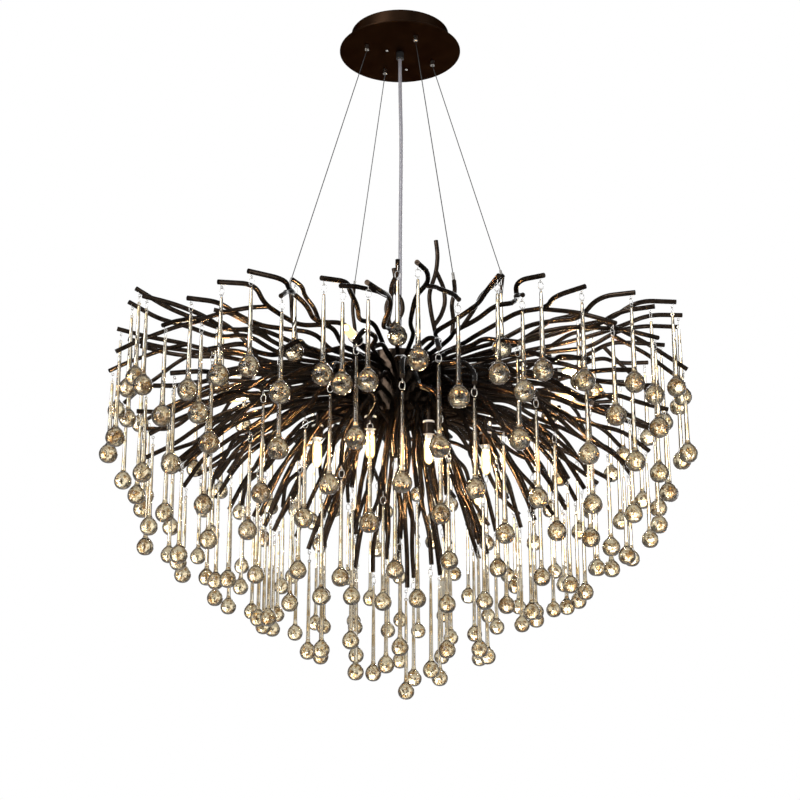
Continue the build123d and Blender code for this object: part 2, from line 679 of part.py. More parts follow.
# --- solids: drops and their links ------------------------------------------------------
def hook_eye_centre(rod):
    """The middle of the eye at a hook's foot, on the hub's side of the pin."""
    turn = math.radians(rod.azimuth)
    outwards = Vector(math.cos(turn), math.sin(turn), 0)
    return rod.hanging_point - outwards * HOOK_EYE_RADIUS - Vector(0, 0, pin_reach(rod))


RING_TOP_DROP = HOOK_EYE_RADIUS - PIN_RADIUS - RING_WIRE_RADIUS - LINK_CLEARANCE
RING_HEIGHT = 2 * RING_HALF_WIDTH + RING_STRAIGHT
DROP_HOLE_DROP = DROP_HOLE_RADIUS - RING_WIRE_RADIUS - DROP_HANG_CLEARANCE


def ring_foot(rod):
    """The middle of the wire at a ring's lowest point."""
    return hook_eye_centre(rod) - Vector(0, 0, RING_TOP_DROP + RING_HEIGHT)


def swing_centre(rod):
    """The middle of the hole in a drop's eye, which is what the drop swings about."""
    return ring_foot(rod) - Vector(0, 0, DROP_HOLE_DROP)


def drop_hook(rod):
    """One bent wire: a pin that stands in the rod's tip, and an eye at its foot."""
    middle = math.radians(HOOK_EYE_MIDDLE)
    end = math.radians(HOOK_EYE_END)
    top = pin_reach(rod) + PIN_SEAT
    shank = Line((HOOK_EYE_RADIUS, 0, top), (HOOK_EYE_RADIUS, 0, 0))
    eye = ThreePointArc(
        (HOOK_EYE_RADIUS, 0, 0),
        (HOOK_EYE_RADIUS * math.cos(middle), 0, HOOK_EYE_RADIUS * math.sin(middle)),
        (HOOK_EYE_RADIUS * math.cos(end), 0, HOOK_EYE_RADIUS * math.sin(end)),
    )
    start = Plane(origin=(HOOK_EYE_RADIUS, 0, top), z_dir=(0, 0, -1))
    wire = sweep(start * Circle(PIN_RADIUS), path=Wire([shank, eye]))
    return at_azimuth(wire, hook_eye_centre(rod), rod.azimuth)


def ring_blank():
    """An oval ring across the rod, its foot's middle at the origin."""
    path = Wire(
        [
            Line((0, RING_HALF_WIDTH, RING_HALF_WIDTH), (0, RING_HALF_WIDTH, RING_HALF_WIDTH + RING_STRAIGHT)),
            ThreePointArc(
                (0, RING_HALF_WIDTH, RING_HALF_WIDTH + RING_STRAIGHT),
                (0, 0, RING_HEIGHT),
                (0, -RING_HALF_WIDTH, RING_HALF_WIDTH + RING_STRAIGHT),
            ),
            Line((0, -RING_HALF_WIDTH, RING_HALF_WIDTH + RING_STRAIGHT), (0, -RING_HALF_WIDTH, RING_HALF_WIDTH)),
            ThreePointArc((0, -RING_HALF_WIDTH, RING_HALF_WIDTH), (0, 0, 0), (0, RING_HALF_WIDTH, RING_HALF_WIDTH)),
        ]
    )
    start = Plane(origin=(0, RING_HALF_WIDTH, RING_HALF_WIDTH), z_dir=(0, 0, 1))
    return sweep(start * Circle(RING_WIRE_RADIUS), path=path)


def drop_blank(size):
    """A glass drop: an eye, a slim stem and a ball. The origin is the ring wire's middle."""
    ball, stem, flare, length = size["ball"], size["stem"], size["flare"], size["length"]
    hole_height = -DROP_HOLE_DROP
    ball_height = -length
    flare_rise = math.sqrt((ball + flare) ** 2 - (stem + flare) ** 2)
    meeting = ball / (ball + flare)
    touch = (meeting * (stem + flare), ball_height + meeting * flare_rise)
    flare_turn = math.atan2(flare_rise, stem + flare) / 2
    flare_point = (
        stem + flare - flare * math.cos(flare_turn),
        ball_height + flare_rise - flare * math.sin(flare_turn),
    )
    neck_drop = math.sqrt(DROP_EYE_RADIUS**2 - DROP_NECK_RADIUS**2)
    ball_side = math.radians(-20)
    edges = [
        Line((0, 0, hole_height + DROP_EYE_RADIUS), (0, 0, ball_height - ball)),
        ThreePointArc(
            (0, 0, ball_height - ball),
            (ball * math.cos(ball_side), 0, ball_height + ball * math.sin(ball_side)),
            (touch[0], 0, touch[1]),
        ),
        ThreePointArc(
            (touch[0], 0, touch[1]), (flare_point[0], 0, flare_point[1]), (stem, 0, ball_height + flare_rise)
        ),
        Line((stem, 0, ball_height + flare_rise), (DROP_NECK_RADIUS, 0, hole_height - neck_drop)),
        ThreePointArc(
            (DROP_NECK_RADIUS, 0, hole_height - neck_drop),
            (DROP_EYE_RADIUS, 0, hole_height),
            (0, 0, hole_height + DROP_EYE_RADIUS),
        ),
    ]
    glass = revolve(make_face(edges), axis=Axis.Z)
    beside = Box(4 * DROP_EYE_RADIUS, 2 * DROP_EYE_RADIUS, 4 * DROP_EYE_RADIUS)
    cheek = DROP_EYE_THICKNESS / 2 + DROP_EYE_RADIUS
    glass -= [Pos(0, side * cheek, hole_height + DROP_EYE_RADIUS / 2) * beside for side in (-1, 1)]
    hole = Pos(0, 0, hole_height) * Rot(90, 0, 0) * Cylinder(DROP_HOLE_RADIUS, 2 * DROP_EYE_THICKNESS)
    return largest(glass - hole)


# --- solids: lamps ----------------------------------------------------------------------
def bulb_pins(radius, length, base):
    """Two pins that stand below a base's height."""
    return [Pos(side * BULB_PIN_SPACING / 2, 0, 0) * standing(radius, base - length, length) for side in (-1, 1)]


def lamp_holder():
    """A ceramic holder that stands on the origin along +Z, with two holes in its top."""
    holder = standing(HOLDER_RADIUS, 0, HOLDER_LENGTH)
    holder = chamfer(holder.edges().group_by(Axis.Z)[0], HOLDER_RADIUS / 6)
    depth = BULB_PIN_LENGTH + BULB_PIN_CLEARANCE
    return holder - bulb_pins(BULB_PIN_RADIUS + BULB_PIN_CLEARANCE, depth, HOLDER_LENGTH)


def bulb():
    """A capsule bulb in its holder's place: a base with two pins, and a glass envelope."""
    seat = HOLDER_LENGTH + BULB_PIN_CLEARANCE
    base = standing(BULB_BASE_RADIUS, seat, BULB_BASE_LENGTH)
    for leg in bulb_pins(BULB_PIN_RADIUS, BULB_PIN_LENGTH - 1, seat):
        base += leg
    envelope = standing(BULB_RADIUS, seat + BULB_BASE_LENGTH, BULB_LENGTH - BULB_RADIUS)
    envelope += Pos(0, 0, seat + BULB_BASE_LENGTH + BULB_LENGTH - BULB_RADIUS) * Sphere(BULB_RADIUS)
    return [base, envelope]


def lamp_places():
    """The place and direction of every lamp, in the order of the arms."""
    places = []
    for arm in ARMS[: len(RING_LAMP_BRANCHES)]:
        point = arm.points[-1]
        places.append(Location((point.X, point.Y, point.Z), (0, 0, arm.azimuth)) * Rot(0, 90, 0))
    for arm in ARMS[len(RING_LAMP_BRANCHES) :]:
        point = arm.points[-1]
        places.append(Location((point.X, point.Y, point.Z), (0, 0, arm.azimuth)) * Rot(180, 0, 0))
    return places


# --- write every node -------------------------------------------------------------------
def export(name, shapes):
    """One file for a node, its pieces kept apart."""
    solids = []
    for shape in shapes if isinstance(shapes, list) else [shapes]:
        solids.extend(shape.solids())
    export_step(Compound(children=solids) if len(solids) > 1 else solids[0], f"parts/{name}.step")


os.makedirs("parts", exist_ok=True)

export("ceiling_bracket", ceiling_bracket())
export("canopy_can", canopy_can())
export("canopy_plate", canopy_plate())
export("canopy_screws", canopy_screws())
export("terminal_block", terminal_block())
export("terminal_screws", terminal_screws())
export("wire_grips", wire_grips())
export("cable_gland", cable_gland())
export("power_cable", power_cable())
export("hub_core", hub_core())
export("hub_lid", hub_lid())
export("hub_gland", hub_gland())
export("hub_connector", hub_connector())

ROD_SOLIDS = rod_solids(ALL_RODS)
for number, rods in enumerate(BRANCHES, start=1):
    export(f"branch_{number:02d}", [ROD_SOLIDS[rod] for rod in rods])
export("lower_spray", [ROD_SOLIDS[rod] for rod in SPRAY])
export("lamp_arms", [ROD_SOLIDS[rod] for rod in ARMS])

HANGERS = [rod for rod in ALL_RODS if rod.name == "hanger"]
export("wire_sockets", [wire_socket(rod, ROD_SOLIDS[rod]) for rod in HANGERS])
export("suspension_wires", [suspension_wire(rod) for rod in HANGERS])

export("lamp_holders", [place * lamp_holder() for place in lamp_places()])
for number, place in enumerate(lamp_places(), start=1):
    export(f"bulb_{number:02d}", [place * piece for piece in bulb()])

HUNG_RODS = [rod for rod in ALL_RODS if rod.glass]
RING = ring_blank()
export("drop_hooks", [drop_hook(rod) for rod in HUNG_RODS])
export("drop_rings", [at_azimuth(RING, ring_foot(rod), rod.azimuth) for rod in HUNG_RODS])

DROP_NODES = {
    "rim_drops": ("rim",),
    "edge_drops": ("edge",),
    "shoulder_drops": ("shoulder",),
    "bowl_drops": ("flank", "bowl"),
    "under_drops": ("belly", "keel"),
    "centre_drops": ("outer", "inner", "middle"),
    "crown_drops": ("crown",),
}
DROPS = {name: drop_blank(size) for name, size in GLASS_SIZES.items()}
GLASS = {rod: at_azimuth(DROPS[rod.glass], ring_foot(rod), rod.azimuth) for rod in HUNG_RODS}
SWINGING = [BRANCHES[index][1] for index in SWINGING_BRANCHES]
for node, names in DROP_NODES.items():
    export(node, [GLASS[rod] for rod in HUNG_RODS if rod.name in names and rod not in SWINGING])
for number, rod in enumerate(SWINGING, start=1):
    print(f"swing_drop_{number:02d}", [round(value, 4) for value in swing_centre(rod)], "azimuth", rod.azimuth)
    export(f"swing_drop_{number:02d}", GLASS[rod])
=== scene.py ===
import json
import math

import bmesh
import bpy
from mathutils import Matrix, Vector


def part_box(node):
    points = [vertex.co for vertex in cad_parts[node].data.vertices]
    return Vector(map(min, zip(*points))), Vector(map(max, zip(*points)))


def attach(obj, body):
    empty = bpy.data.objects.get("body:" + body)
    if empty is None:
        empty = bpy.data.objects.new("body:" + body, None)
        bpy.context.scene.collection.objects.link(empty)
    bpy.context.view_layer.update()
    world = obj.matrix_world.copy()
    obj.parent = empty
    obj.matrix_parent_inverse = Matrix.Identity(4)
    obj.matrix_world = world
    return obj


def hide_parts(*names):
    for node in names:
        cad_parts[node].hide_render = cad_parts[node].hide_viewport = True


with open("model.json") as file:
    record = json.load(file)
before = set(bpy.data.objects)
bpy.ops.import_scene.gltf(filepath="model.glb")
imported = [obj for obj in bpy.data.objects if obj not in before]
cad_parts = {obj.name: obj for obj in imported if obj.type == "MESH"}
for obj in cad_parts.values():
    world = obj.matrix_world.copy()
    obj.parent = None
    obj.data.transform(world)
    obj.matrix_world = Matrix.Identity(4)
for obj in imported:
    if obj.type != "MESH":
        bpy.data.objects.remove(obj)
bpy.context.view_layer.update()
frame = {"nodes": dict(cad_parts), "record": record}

# A crystal drop chandelier: glossy black rods, clear champagne drops, lit capsule bulbs.
# Metres, in the frame of the solid model. The camera stands low in front and looks up.

# --- camera and stage -------------------------------------------------------------------
CAMERA_PLACE = Vector((0.0, -2.33, -1.36))
CAMERA_PITCH = math.radians(105.9)
CAMERA_LENS = 64.0
FLOOR_HEIGHT = -2.7
FLOOR_SIZE = 30.0
FLOOR_LIFT = 0.4
FLOOR_COLOR = (0.86, 0.86, 0.85, 1)
FLOOR_ROUGHNESS = 0.8
WHITE = (1, 1, 1, 1)
DAYLIGHT = 0.55
PANEL_SCALE = 2.6
PANEL_EDGES = (0.42, 0.58)
PANEL_TONES = (0.1, 1.0)
PANEL_DETAIL = 0.5
LAMP_SIZE = 1.8
LAMP_AIM = Vector((0, 0, -0.75))
MILLIMETRE = 0.001

# --- supply cable -----------------------------------------------------------------------
CABLE_DIAMETER = 0.0065
CABLE_ROUTE = [
    (0.0, 0.0, -0.049),
    (0.0, 0.0, -0.111),
    (0.0026, -0.0008, -0.219),
    (0.0006, 0.0009, -0.379),
    (0.0, 0.0, -0.544),
    (0.0, 0.0, -0.614),
]
CABLE_CORE_OFFSET = 0.0013
CABLE_CORE_RADIUS = 0.0008
CABLE_ROUNDNESS = 4
CABLE_STEPS = 12
CABLE_ORDER = 3

# --- drops ------------------------------------------------------------------------------
DROP_SIDES = 8
DROP_SMOOTH_LEVELS = 2
# A smoothed cage is smaller than its corners, by this much for eight sides.
CAGE_SPARE = 3 / (2 + math.cos(2 * math.pi / DROP_SIDES))
EYE_RADIUS = 2.15 * MILLIMETRE
EYE_THICKNESS = 0.95 * MILLIMETRE
EYE_TOP = 3.0 * MILLIMETRE
EYE_WIRE_SIDES = 6
GLASS_IOR = 1.52
VEIN_EDGES = (0.38, 0.46)
# The ball's own glass ends here, in ball radii above the ball's middle.
BALL_TOP = 1.1
# A stem's radius where it leaves the flare, in ball radii.
STEM_SHARE = 0.235
RING_WIRE = 0.5 * MILLIMETRE
RING_HALF_WIDTH = 4.0 * MILLIMETRE
HOOK_WIRE = 0.6 * MILLIMETRE
HOOK_EYE = 2.1 * MILLIMETRE
HOOK_TURN = math.radians(290)
HOOK_STEPS = 10
# One handle this long, in radii, makes half a circle of one run of a Bezier spline.
HALF_CIRCLE_HANDLE = 4 / 3
# Which side and which end of a ring each point of its spline is on, in turn.
RING_CORNERS = ((1, 1), (-1, 1), (-1, -1), (1, -1))

# --- bulbs ------------------------------------------------------------------------------
BULB_SIDES = 12
BULB_RADIUS = 7.5 * MILLIMETRE
BULB_LENGTH = 40.0 * MILLIMETRE
BULB_BASE_LENGTH = 8.0 * MILLIMETRE
BULB_BASE_RADIUS = 6.0 * MILLIMETRE
BULB_PIN_LENGTH = 6.0 * MILLIMETRE
BULB_PIN_RADIUS = 0.7 * MILLIMETRE
BULB_PIN_SPACING = 9.0 * MILLIMETRE
# A smoothed envelope is smaller than its corners, by about this much.
BULB_SPARE = 1.01
BASE_BEVEL = 0.8 * MILLIMETRE
HOLDER_LENGTH = 22.0 * MILLIMETRE
SLEEVE_RADIUS = 9.6 * MILLIMETRE
SLEEVE_LENGTH = 22.6 * MILLIMETRE
SLEEVE_WALL = 0.5 * MILLIMETRE
SLEEVE_LIP = 0.5 * MILLIMETRE
DROP_NODES = [
    name for name in frame["nodes"] if name.endswith("_drops") or name.startswith("swing_drop")
]
BULB_NODES = [name for name in frame["nodes"] if name.startswith("bulb_")]


# --- small helpers ----------------------------------------------------------------------
def new_object(name, data, body="frame"):
    """A finished piece in the scene that rides on a body."""
    piece = bpy.data.objects.new(name, data)
    bpy.context.scene.collection.objects.link(piece)
    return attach(piece, body)


def body_holding(node):
    """The name of the body that a solid belongs to."""
    bodies = frame["record"]["behaviour"]["bodies"]
    return next(body for body, nodes in bodies.items() if node in nodes)


def shared_material(name):
    """A new material and its main shader."""
    material = bpy.data.materials.new(name)
    material.use_nodes = True
    return material, material.node_tree.nodes["Principled BSDF"]


def add_node(tree, kind, **values):
    """A shader node with its settings and the values of its unlinked sockets."""
    node = tree.nodes.new(kind)
    for key, value in values.items():
        if hasattr(node, key):
            setattr(node, key, value)
        else:
            node.inputs[key.replace("_", " ")].default_value = value
    return node


def solids_of(node):
    """The lowest and highest corner of every separate solid in a node."""
    mesh = bmesh.new()
    mesh.from_mesh(frame["nodes"][node].data)
    bmesh.ops.remove_doubles(mesh, verts=mesh.verts, dist=0.001 * MILLIMETRE)
    unseen = set(mesh.verts)
    corners = []
    while unseen:
        reached = [unseen.pop()]
        low = reached[0].co.copy()
        high = reached[0].co.copy()
        while reached:
            vertex = reached.pop()
            low = Vector(map(min, low, vertex.co))
            high = Vector(map(max, high, vertex.co))
            for edge in vertex.link_edges:
                other = edge.other_vert(vertex)
                if other in unseen:
                    unseen.remove(other)
                    reached.append(other)
        corners.append((low, high))
    mesh.free()
    return sorted(corners, key=lambda pair: tuple(pair[0]))


# --- camera, light and floor ------------------------------------------------------------
def make_camera():
    """The camera that stands low in front and looks up."""
    data = bpy.data.cameras.new("camera")
    data.lens = CAMERA_LENS
    camera = bpy.data.objects.new("camera", data)
    camera.location = CAMERA_PLACE
    camera.rotation_euler = (CAMERA_PITCH, 0, 0)
    bpy.context.scene.collection.objects.link(camera)
    bpy.context.scene.camera = camera


def make_world():
    """A soft grey room for the light on surfaces. The camera sees it plain white, and
    reflections and glass see it as a studio's white panels with dark gaps between them."""
    world = bpy.data.worlds.new("studio")
    bpy.context.scene.world = world
    world.use_nodes = True
    tree = world.node_tree
    tree.nodes.clear()
    path = tree.nodes.new("ShaderNodeLightPath")
    way = tree.nodes.new("ShaderNodeTexCoord")
    patches = add_node(tree, "ShaderNodeTexNoise", Scale=PANEL_SCALE, Detail=PANEL_DETAIL)
    tree.links.new(way.outputs["Generated"], patches.inputs["Vector"])
    panels = add_node(tree, "ShaderNodeMapRange", interpolation_type="SMOOTHSTEP")
    panels.inputs["From Min"].default_value = PANEL_EDGES[0]
    panels.inputs["From Max"].default_value = PANEL_EDGES[1]
    panels.inputs["To Min"].default_value = PANEL_TONES[0]
    panels.inputs["To Max"].default_value = PANEL_TONES[1]
    tree.links.new(patches.outputs["Fac"], panels.inputs["Value"])
    room = add_node(tree, "ShaderNodeBackground", Color=WHITE, Strength=DAYLIGHT)
    panelled = add_node(tree, "ShaderNodeBackground", Color=WHITE)
    tree.links.new(panels.outputs["Result"], panelled.inputs["Strength"])
    white = add_node(tree, "ShaderNodeBackground", Color=WHITE, Strength=1.0)
    shiny = add_node(tree, "ShaderNodeMath", operation="MAXIMUM")
    tree.links.new(path.outputs["Is Glossy Ray"], shiny.inputs[0])
    tree.links.new(path.outputs["Is Transmission Ray"], shiny.inputs[1])
    reflected = tree.nodes.new("ShaderNodeMixShader")
    tree.links.new(shiny.outputs[0], reflected.inputs[0])
    tree.links.new(room.outputs[0], reflected.inputs[1])
    tree.links.new(panelled.outputs[0], reflected.inputs[2])
    seen = tree.nodes.new("ShaderNodeMixShader")
    tree.links.new(path.outputs["Is Camera Ray"], seen.inputs[0])
    tree.links.new(reflected.outputs[0], seen.inputs[1])
    tree.links.new(white.outputs[0], seen.inputs[2])
    output = tree.nodes.new("ShaderNodeOutputWorld")
    tree.links.new(seen.outputs[0], output.inputs[0])


def make_studio_lamp(name, place, power):
    """A square lamp that shines at the middle of the rods."""
    data = bpy.data.lights.new(name, "AREA")
    data.size = LAMP_SIZE
    data.energy = power
    lamp = bpy.data.objects.new(name, data)
    lamp.location = place
    aim = LAMP_AIM - Vector(place)
    lamp.rotation_euler = aim.to_track_quat("-Z", "Y").to_euler()
    bpy.context.scene.collection.objects.link(lamp)


def make_floor():
    """A pale floor far below, which the camera sees nearly white."""
    mesh = bmesh.new()
    bmesh.ops.create_grid(mesh, x_segments=1, y_segments=1, size=FLOOR_SIZE / 2)
    bmesh.ops.translate(mesh, verts=mesh.verts, vec=(0, 0, FLOOR_HEIGHT))
    data = bpy.data.meshes.new("floor")
    mesh.to_mesh(data)
    mesh.free()
    floor = bpy.data.objects.new("floor", data)
    bpy.context.scene.collection.objects.link(floor)
    material, shader = shared_material("pale_floor")
    shader.inputs["Base Color"].default_value = FLOOR_COLOR
    shader.inputs["Roughness"].default_value = FLOOR_ROUGHNESS
    shader.inputs["Emission Color"].default_value = WHITE
    tree = material.node_tree
    path = tree.nodes.new("ShaderNodeLightPath")
    lift = add_node(tree, "ShaderNodeMath", operation="MULTIPLY")
    lift.inputs[1].default_value = FLOOR_LIFT
    tree.links.new(path.outputs["Is Camera Ray"], lift.inputs[0])
    tree.links.new(lift.outputs[0], shader.inputs["Emission Strength"])
    data.materials.append(material)


# --- shader groups ----------------------------------------------------------------------
def make_unevenness_group():
    """One noise as a mask from 0 to 1, and a normal that follows it."""
    group = bpy.data.node_groups.new("unevenness", "ShaderNodeTree")
    for name, value in (("Scale", 300.0), ("Detail", 3.0), ("Depth", 0.2)):
        socket = group.interface.new_socket(name, in_out="INPUT", socket_type="NodeSocketFloat")
        socket.default_value = value
    group.interface.new_socket("Mask", in_out="OUTPUT", socket_type="NodeSocketFloat")
    group.interface.new_socket("Normal", in_out="OUTPUT", socket_type="NodeSocketVector")
    inside = group.nodes.new("NodeGroupInput")
    outside = group.nodes.new("NodeGroupOutput")
    place = group.nodes.new("ShaderNodeTexCoord")
    grain = group.nodes.new("ShaderNodeTexNoise")
    bump = group.nodes.new("ShaderNodeBump")
    bump.inputs["Distance"].default_value = MILLIMETRE
    group.links.new(place.outputs["Object"], grain.inputs["Vector"])
    group.links.new(inside.outputs["Scale"], grain.inputs["Scale"])
    group.links.new(inside.outputs["Detail"], grain.inputs["Detail"])
    group.links.new(grain.outputs["Fac"], bump.inputs["Height"])
    group.links.new(inside.outputs["Depth"], bump.inputs["Strength"])
    group.links.new(grain.outputs["Fac"], outside.inputs["Mask"])
    group.links.new(bump.outputs["Normal"], outside.inputs["Normal"])
    return group


def place_unevenness(material, shader, scale, detail, depth):
    """The shared group in a material, with its normal already linked."""
    tree = material.node_tree
    node = tree.nodes.new("ShaderNodeGroup")
    node.node_tree = UNEVENNESS
    node.inputs["Scale"].default_value = scale
    node.inputs["Detail"].default_value = detail
    node.inputs["Depth"].default_value = depth
    tree.links.new(node.outputs["Normal"], shader.inputs["Normal"])
    return node


def mottle(material, shader, node, dark, light, low=0.25, high=0.8):
    """A colour that wanders between two tones with the group's mask."""
    tree = material.node_tree
    ramp = tree.nodes.new("ShaderNodeValToRGB")
    ramp.color_ramp.elements[0].position = low
    ramp.color_ramp.elements[0].color = (*dark, 1)
    ramp.color_ramp.elements[1].position = high
    ramp.color_ramp.elements[1].color = (*light, 1)
    tree.links.new(node.outputs["Mask"], ramp.inputs["Fac"])
    tree.links.new(ramp.outputs["Color"], shader.inputs["Base Color"])


def vary_roughness(material, shader, node, low, high):
    """A roughness that wanders between two values with the group's mask."""
    tree = material.node_tree
    spread = add_node(tree, "ShaderNodeMapRange", To_Min=low, To_Max=high)
    tree.links.new(node.outputs["Mask"], spread.inputs["Value"])
    tree.links.new(spread.outputs["Result"], shader.inputs["Roughness"])


# --- materials --------------------------------------------------------------------------
METAL_DETAIL = 3.0
PLASTIC_DETAIL = 4.0
GLASS_DETAIL = 1.0
BULB_ROUGHNESS = 0.25
BULB_GRAIN = 60.0
BULB_DEPTH = 0.02
# Where a bulb's light starts and ends to turn yellow, from 0 facing to 1 slanting.
BULB_FADE = (0.04, 0.2)


def metal(name, dark, light, roughness, scale, depth, edge_tint=1.0, bareness=1.0):
    """A bare, plated or lacquered metal whose tone, gloss and surface wander a little."""
    material, shader = shared_material(name)
    shader.inputs["Metallic"].default_value = bareness
    shader.inputs["Specular Tint"].default_value = (edge_tint, edge_tint, edge_tint, 1)
    node = place_unevenness(material, shader, scale, METAL_DETAIL, depth)
    mottle(material, shader, node, dark, light)
    vary_roughness(material, shader, node, *roughness)
    return material


def plastic(name, dark, light, roughness, scale, depth):
    """A moulded plastic or fired ceramic whose tone and gloss wander a little."""
    material, shader = shared_material(name)
    node = place_unevenness(material, shader, scale, PLASTIC_DETAIL, depth)
    mottle(material, shader, node, dark, light)
    vary_roughness(material, shader, node, *roughness)
    return material


def clear(name, tint, ior, scale, depth, clearness=1.0, roughness=0.0):
    """Clear or milky glass or plastic with a slightly wavy surface, and its unevenness."""
    material, shader = shared_material(name)
    shader.inputs["Base Color"].default_value = (*tint, 1)
    shader.inputs["Transmission Weight"].default_value = clearness
    shader.inputs["IOR"].default_value = ior
    shader.inputs["Roughness"].default_value = roughness
    return material, place_unevenness(material, shader, scale, GLASS_DETAIL, depth)


def drop_glass(name, middle, edge, fade, vein, scale, depth):
    """Tinted glass with darker veins in it, and a painted dark outline: its colour turns from
    the middle tint to a near-black edge tone where the look through it is slanting."""
    material, unevenness = clear(name, middle, GLASS_IOR, scale, depth)
    tree = material.node_tree
    shader = tree.nodes["Principled BSDF"]
    # Painted shade: the base colour darkens to the near-black edge tone as the surface slants
    # away from the view, drawing dark outlines round the glass.
    facing = add_node(tree, "ShaderNodeLayerWeight", Blend=0.5)
    ramp = tree.nodes.new("ShaderNodeValToRGB")
    ramp.color_ramp.elements[0].position = fade[0]
    ramp.color_ramp.elements[0].color = (*middle, 1)
    ramp.color_ramp.elements[1].position = fade[1]
    ramp.color_ramp.elements[1].color = (*edge, 1)
    tree.links.new(facing.outputs["Facing"], ramp.inputs["Fac"])
    veins = tree.nodes.new("ShaderNodeValToRGB")
    veins.color_ramp.elements[0].position = VEIN_EDGES[0]
    veins.color_ramp.elements[0].color = (*vein, 1)
    veins.color_ramp.elements[1].position = VEIN_EDGES[1]
    tree.links.new(unevenness.outputs["Mask"], veins.inputs["Fac"])
    both = add_node(tree, "ShaderNodeMix", data_type="RGBA", blend_type="MULTIPLY")
    both.inputs["Factor"].default_value = 1.0
    tree.links.new(ramp.outputs["Color"], both.inputs["A"])
    tree.links.new(veins.outputs["Color"], both.inputs["B"])
    tree.links.new(both.outputs["Result"], shader.inputs["Base Color"])
    return material


def glowing(name, core, rim, strength):
    """A lit bulb: its light is yellower towards the edges of its glass."""
    material, shader = shared_material(name)
    shader.inputs["Base Color"].default_value = (*rim, 1)
    shader.inputs["Roughness"].default_value = BULB_ROUGHNESS
    shader.inputs["Emission Strength"].default_value = strength
    place_unevenness(material, shader, BULB_GRAIN, GLASS_DETAIL, BULB_DEPTH)
    tree = material.node_tree
    facing = add_node(tree, "ShaderNodeLayerWeight", Blend=0.5)
    ramp = tree.nodes.new("ShaderNodeValToRGB")
    ramp.color_ramp.elements[0].position = BULB_FADE[0]
    ramp.color_ramp.elements[1].position = BULB_FADE[1]
    ramp.color_ramp.elements[0].color = (*core, 1)
    ramp.color_ramp.elements[1].color = (*rim, 1)
    tree.links.new(facing.outputs["Facing"], ramp.inputs["Fac"])
    tree.links.new(ramp.outputs["Color"], shader.inputs["Emission Color"])
    return material


UNEVENNESS = make_unevenness_group()
MATERIALS = {
    "bronze_black": metal(
        "bronze_black",
        dark=(0.018, 0.009, 0.005),
        light=(0.03, 0.016, 0.009),
        roughness=(0.3, 0.42),
        scale=40,
        depth=0.03,
        edge_tint=0.4,
    ),
    "zinc_steel": metal(
        "zinc_steel",
        dark=(0.5, 0.5, 0.52),
        light=(0.66, 0.66, 0.68),
        roughness=(0.3, 0.5),
        scale=120,
        depth=0.1,
    ),
    "white_plastic": plastic(
        "white_plastic",
        dark=(0.8, 0.8, 0.77),
        light=(0.86, 0.86, 0.83),
        roughness=(0.4, 0.55),
        scale=400,
        depth=0.05,
    ),
    "chrome_screw": metal(
        "chrome_screw",
        dark=(0.62, 0.6, 0.57),
        light=(0.8, 0.79, 0.77),
        roughness=(0.08, 0.18),
        scale=500,
        depth=0.05,
    ),
    "nickel": metal(
        "nickel",
        dark=(0.35, 0.33, 0.3),
        light=(0.5, 0.48, 0.45),
        roughness=(0.2, 0.35),
        scale=500,
        depth=0.05,
    ),
    "steel_wire": metal(
        "steel_wire",
        dark=(0.05, 0.05, 0.052),
        light=(0.16, 0.16, 0.165),
        roughness=(0.35, 0.5),
        scale=900,
        depth=0.5,
        edge_tint=0.6,
    ),
    "black_plastic": plastic(
        "black_plastic",
        dark=(0.012, 0.012, 0.012),
        light=(0.02, 0.02, 0.02),
        roughness=(0.4, 0.6),
        scale=500,
        depth=0.1,
    ),
    "black_nickel": metal(
        "black_nickel",
        dark=(0.01, 0.007, 0.005),
        light=(0.06, 0.043, 0.031),
        roughness=(0.08, 0.2),
        scale=120,
        depth=0.4,
        edge_tint=0.12,
        bareness=0.85,
    ),
    "ceramic": plastic(
        "ceramic",
        dark=(0.8, 0.77, 0.7),
        light=(0.88, 0.86, 0.8),
        roughness=(0.3, 0.45),
        scale=300,
        depth=0.05,
    ),
    "clear_cable": clear(
        "clear_cable",
        tint=(0.4, 0.385, 0.42),
        ior=1.4,
        scale=200,
        depth=0.05,
        clearness=0.35,
        roughness=0.12,
    )[0],
    "champagne_glass": drop_glass(
        "champagne_glass",
        middle=(0.99, 0.85, 0.57),
        # The edge tone is painted shade: a near-black outline at the balls' slanting rims.
        edge=(0.025, 0.011, 0.004),
        fade=(0.16, 0.58),
        vein=(0.26, 0.13, 0.045),
        scale=190,
        depth=1.4,
    ),
    "bulb_glass": glowing(
        "bulb_glass",
        core=(1.0, 0.66, 0.32),
        rim=(0.0022, 0.0015, 0.0006),
        strength=900.0,
    ),
}
# The drops' stems and eyes are drawn out, so they are smoother than the balls.
STEM_GLASS = drop_glass(
    "stem_glass",
    middle=(0.99, 0.9, 0.72),
    # The edge tone is painted shade: dark outlines along the stems' slanting sides.
    edge=(0.055, 0.03, 0.014),
    fade=(0.08, 0.44),
    vein=(0.75, 0.64, 0.46),
    scale=60,
    depth=0.4,
)
CORE_METAL = metal(
    "cable_core",
    dark=(0.5, 0.5, 0.55),
    light=(0.72, 0.72, 0.78),
    roughness=(0.25, 0.4),
    scale=600,
    depth=0.4,
)


def dress_solids():
    """The solid model's own pieces get their finish."""
    for row in frame["record"]["subparts"]:
        solid = frame["nodes"][row["node"]]
        solid.data.materials.clear()
        solid.data.materials.append(MATERIALS[row["material_slot"]])


